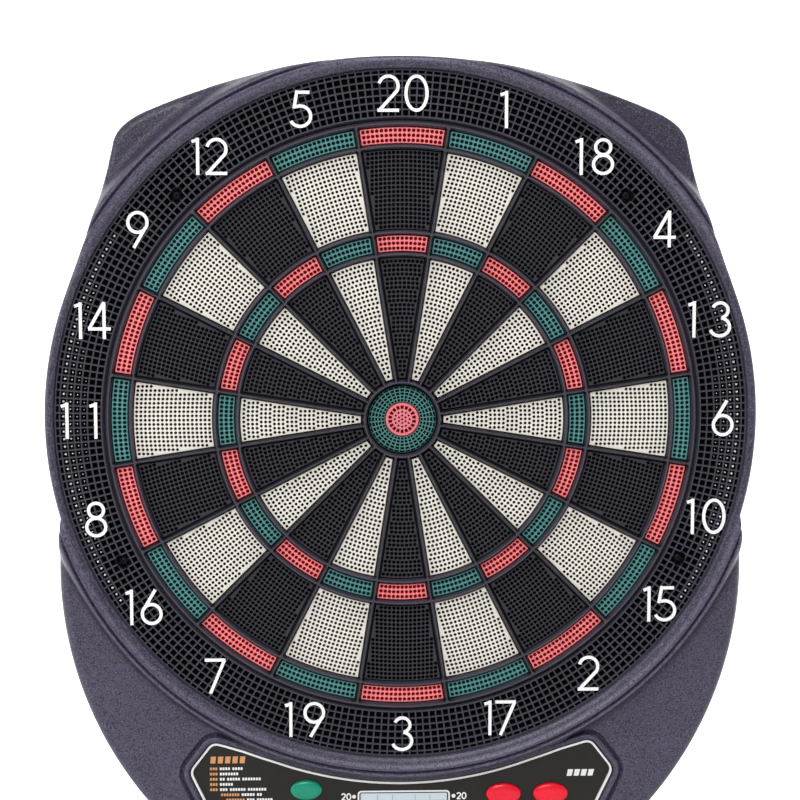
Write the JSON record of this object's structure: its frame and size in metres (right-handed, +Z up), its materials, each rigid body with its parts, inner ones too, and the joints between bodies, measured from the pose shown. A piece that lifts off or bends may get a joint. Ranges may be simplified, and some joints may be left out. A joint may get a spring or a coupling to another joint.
{
  "type": "electronic dartboard",
  "caption": "Wall-hung electronic dartboard: round target of sprung perforated segments in a moulded housing with a numbered catch ring and a lower control panel.",
  "frame": {"origin": "on the wall plane, on the rear cover directly behind the bull", "axes": "+Y into the wall (the player stands at -Y), +Z up, +X to the player's right"},
  "size_m": [0.4758, 0.042, 0.5846],
  "materials": {
    "housing_plastic": "fine-textured charcoal moulding",
    "rear_plastic": "fine-textured dark moulding",
    "spider_plastic": "satin charcoal",
    "ring_plastic": "satin dark charcoal",
    "black_segment": "satin black",
    "cream_segment": "satin cream",
    "green_segment": "satin green",
    "red_segment": "satin red",
    "mat_rubber": "matt",
    "switch_film": "printed film",
    "fibreboard": "smooth hardboard",
    "fascia_film": "semi-gloss black overlay",
    "clear_window": "clear",
    "display_glass": "liquid-crystal module",
    "green_button": "satin gloss",
    "red_button": "satin gloss",
    "keypad_silicone": "matt",
    "circuit": "solder-masked laminate",
    "speaker_body": "dark",
    "jack_plastic": "black",
    "contact_steel": "plated steel",
    "black_screw": "blackened",
    "case_screw": "zinc plated"
  },
  "bodies": {
    "housing": {"front_bezel": "housing_plastic", "rear_cover": "rear_plastic", "hanger_plate": "contact_steel", "battery_tray": "rear_plastic", "board_support": "rear_plastic", "segment_spider": "spider_plastic", "catch_ring": "ring_plastic", "spring_mat": "mat_rubber", "switch_membrane": "switch_film", "backing_board": "fibreboard", "control_fascia": "fascia_film", "display_window": "clear_window", "display_module": "display_glass", "left_keypad": "keypad_silicone", "right_keypad": "keypad_silicone", "circuit_board": "circuit", "speaker": "speaker_body", "power_jack": "jack_plastic", "battery_contact_left": "contact_steel", "battery_contact_right": "contact_steel", "ring_screw_1": "black_screw", "ring_screw_2": "black_screw", "ring_screw_3": "black_screw", "ring_screw_4": "black_screw", "case_screw_1": "case_screw", "case_screw_2": "case_screw", "case_screw_3": "case_screw", "case_screw_4": "case_screw", "case_screw_5": "case_screw", "case_screw_6": "case_screw"},
    "number_20": {"segments_20": "black_segment"},
    "number_1": {"segments_1": "cream_segment"},
    "number_18": {"segments_18": "black_segment"},
    "number_4": {"segments_4": "cream_segment"},
    "number_13": {"segments_13": "black_segment"},
    "number_6": {"segments_6": "cream_segment"},
    "number_10": {"segments_10": "black_segment"},
    "number_15": {"segments_15": "cream_segment"},
    "number_2": {"segments_2": "black_segment"},
    "number_17": {"segments_17": "cream_segment"},
    "number_3": {"segments_3": "black_segment"},
    "number_19": {"segments_19": "cream_segment"},
    "number_7": {"segments_7": "black_segment"},
    "number_16": {"segments_16": "cream_segment"},
    "number_8": {"segments_8": "black_segment"},
    "number_11": {"segments_11": "cream_segment"},
    "number_14": {"segments_14": "black_segment"},
    "number_9": {"segments_9": "cream_segment"},
    "number_12": {"segments_12": "black_segment"},
    "number_5": {"segments_5": "cream_segment"},
    "outer_bull_plunger": {"outer_bull": "green_segment"},
    "inner_bull_plunger": {"inner_bull": "red_segment"},
    "green_button_upper_cap": {"green_button_upper": "green_button"},
    "green_button_lower_cap": {"green_button_lower": "green_button"},
    "red_button_upper_left_cap": {"red_button_upper_left": "red_button"},
    "red_button_upper_right_cap": {"red_button_upper_right": "red_button"},
    "red_button_lower_left_cap": {"red_button_lower_left": "red_button"},
    "red_button_lower_right_cap": {"red_button_lower_right": "red_button"},
    "battery_hatch": {"battery_door": "rear_plastic"}
  },
  "joints": [
    {"name": "press_20", "type": "slide", "parent": "housing", "child": "number_20", "axis": [0, 1, 0], "range_m": [0, 0.0015], "stiffness_N_per_m": 600, "springref_m": -0.0015},
    {"name": "press_1", "type": "slide", "parent": "housing", "child": "number_1", "axis": [0, 1, 0], "range_m": [0, 0.0015], "stiffness_N_per_m": 600, "springref_m": -0.0015},
    {"name": "press_18", "type": "slide", "parent": "housing", "child": "number_18", "axis": [0, 1, 0], "range_m": [0, 0.0015], "stiffness_N_per_m": 600, "springref_m": -0.0015},
    {"name": "press_4", "type": "slide", "parent": "housing", "child": "number_4", "axis": [0, 1, 0], "range_m": [0, 0.0015], "stiffness_N_per_m": 600, "springref_m": -0.0015},
    {"name": "press_13", "type": "slide", "parent": "housing", "child": "number_13", "axis": [0, 1, 0], "range_m": [0, 0.0015], "stiffness_N_per_m": 600, "springref_m": -0.0015},
    {"name": "press_6", "type": "slide", "parent": "housing", "child": "number_6", "axis": [0, 1, 0], "range_m": [0, 0.0015], "stiffness_N_per_m": 600, "springref_m": -0.0015},
    {"name": "press_10", "type": "slide", "parent": "housing", "child": "number_10", "axis": [0, 1, 0], "range_m": [0, 0.0015], "stiffness_N_per_m": 600, "springref_m": -0.0015},
    {"name": "press_15", "type": "slide", "parent": "housing", "child": "number_15", "axis": [0, 1, 0], "range_m": [0, 0.0015], "stiffness_N_per_m": 600, "springref_m": -0.0015},
    {"name": "press_2", "type": "slide", "parent": "housing", "child": "number_2", "axis": [0, 1, 0], "range_m": [0, 0.0015], "stiffness_N_per_m": 600, "springref_m": -0.0015},
    {"name": "press_17", "type": "slide", "parent": "housing", "child": "number_17", "axis": [0, 1, 0], "range_m": [0, 0.0015], "stiffness_N_per_m": 600, "springref_m": -0.0015},
    {"name": "press_3", "type": "slide", "parent": "housing", "child": "number_3", "axis": [0, 1, 0], "range_m": [0, 0.0015], "stiffness_N_per_m": 600, "springref_m": -0.0015},
    {"name": "press_19", "type": "slide", "parent": "housing", "child": "number_19", "axis": [0, 1, 0], "range_m": [0, 0.0015], "stiffness_N_per_m": 600, "springref_m": -0.0015},
    {"name": "press_7", "type": "slide", "parent": "housing", "child": "number_7", "axis": [0, 1, 0], "range_m": [0, 0.0015], "stiffness_N_per_m": 600, "springref_m": -0.0015},
    {"name": "press_16", "type": "slide", "parent": "housing", "child": "number_16", "axis": [0, 1, 0], "range_m": [0, 0.0015], "stiffness_N_per_m": 600, "springref_m": -0.0015},
    {"name": "press_8", "type": "slide", "parent": "housing", "child": "number_8", "axis": [0, 1, 0], "range_m": [0, 0.0015], "stiffness_N_per_m": 600, "springref_m": -0.0015},
    {"name": "press_11", "type": "slide", "parent": "housing", "child": "number_11", "axis": [0, 1, 0], "range_m": [0, 0.0015], "stiffness_N_per_m": 600, "springref_m": -0.0015},
    {"name": "press_14", "type": "slide", "parent": "housing", "child": "number_14", "axis": [0, 1, 0], "range_m": [0, 0.0015], "stiffness_N_per_m": 600, "springref_m": -0.0015},
    {"name": "press_9", "type": "slide", "parent": "housing", "child": "number_9", "axis": [0, 1, 0], "range_m": [0, 0.0015], "stiffness_N_per_m": 600, "springref_m": -0.0015},
    {"name": "press_12", "type": "slide", "parent": "housing", "child": "number_12", "axis": [0, 1, 0], "range_m": [0, 0.0015], "stiffness_N_per_m": 600, "springref_m": -0.0015},
    {"name": "press_5", "type": "slide", "parent": "housing", "child": "number_5", "axis": [0, 1, 0], "range_m": [0, 0.0015], "stiffness_N_per_m": 600, "springref_m": -0.0015},
    {"name": "press_outer_bull", "type": "slide", "parent": "housing", "child": "outer_bull_plunger", "axis": [0, 1, 0], "range_m": [0, 0.0015], "stiffness_N_per_m": 400, "springref_m": -0.0015},
    {"name": "press_inner_bull", "type": "slide", "parent": "housing", "child": "inner_bull_plunger", "axis": [0, 1, 0], "range_m": [0, 0.0015], "stiffness_N_per_m": 400, "springref_m": -0.0015},
    {"name": "push_green_button_upper", "type": "slide", "parent": "housing", "child": "green_button_upper_cap", "axis": [0, 1, 0], "range_m": [0, 0.0015], "stiffness_N_per_m": 400, "springref_m": -0.001},
    {"name": "push_green_button_lower", "type": "slide", "parent": "housing", "child": "green_button_lower_cap", "axis": [0, 1, 0], "range_m": [0, 0.0015], "stiffness_N_per_m": 400, "springref_m": -0.001},
    {"name": "push_red_button_upper_left", "type": "slide", "parent": "housing", "child": "red_button_upper_left_cap", "axis": [0, 1, 0], "range_m": [0, 0.0015], "stiffness_N_per_m": 400, "springref_m": -0.001},
    {"name": "push_red_button_upper_right", "type": "slide", "parent": "housing", "child": "red_button_upper_right_cap", "axis": [0, 1, 0], "range_m": [0, 0.0015], "stiffness_N_per_m": 400, "springref_m": -0.001},
    {"name": "push_red_button_lower_left", "type": "slide", "parent": "housing", "child": "red_button_lower_left_cap", "axis": [0, 1, 0], "range_m": [0, 0.0015], "stiffness_N_per_m": 400, "springref_m": -0.001},
    {"name": "push_red_button_lower_right", "type": "slide", "parent": "housing", "child": "red_button_lower_right_cap", "axis": [0, 1, 0], "range_m": [0, 0.0015], "stiffness_N_per_m": 400, "springref_m": -0.001},
    {"name": "battery_door_hinge", "type": "hinge", "parent": "housing", "child": "battery_hatch", "pos_m": [-0.113, -0.0022, -0.2455], "axis": [1, 0, 0], "range_deg": [0, 100]}
  ]
}
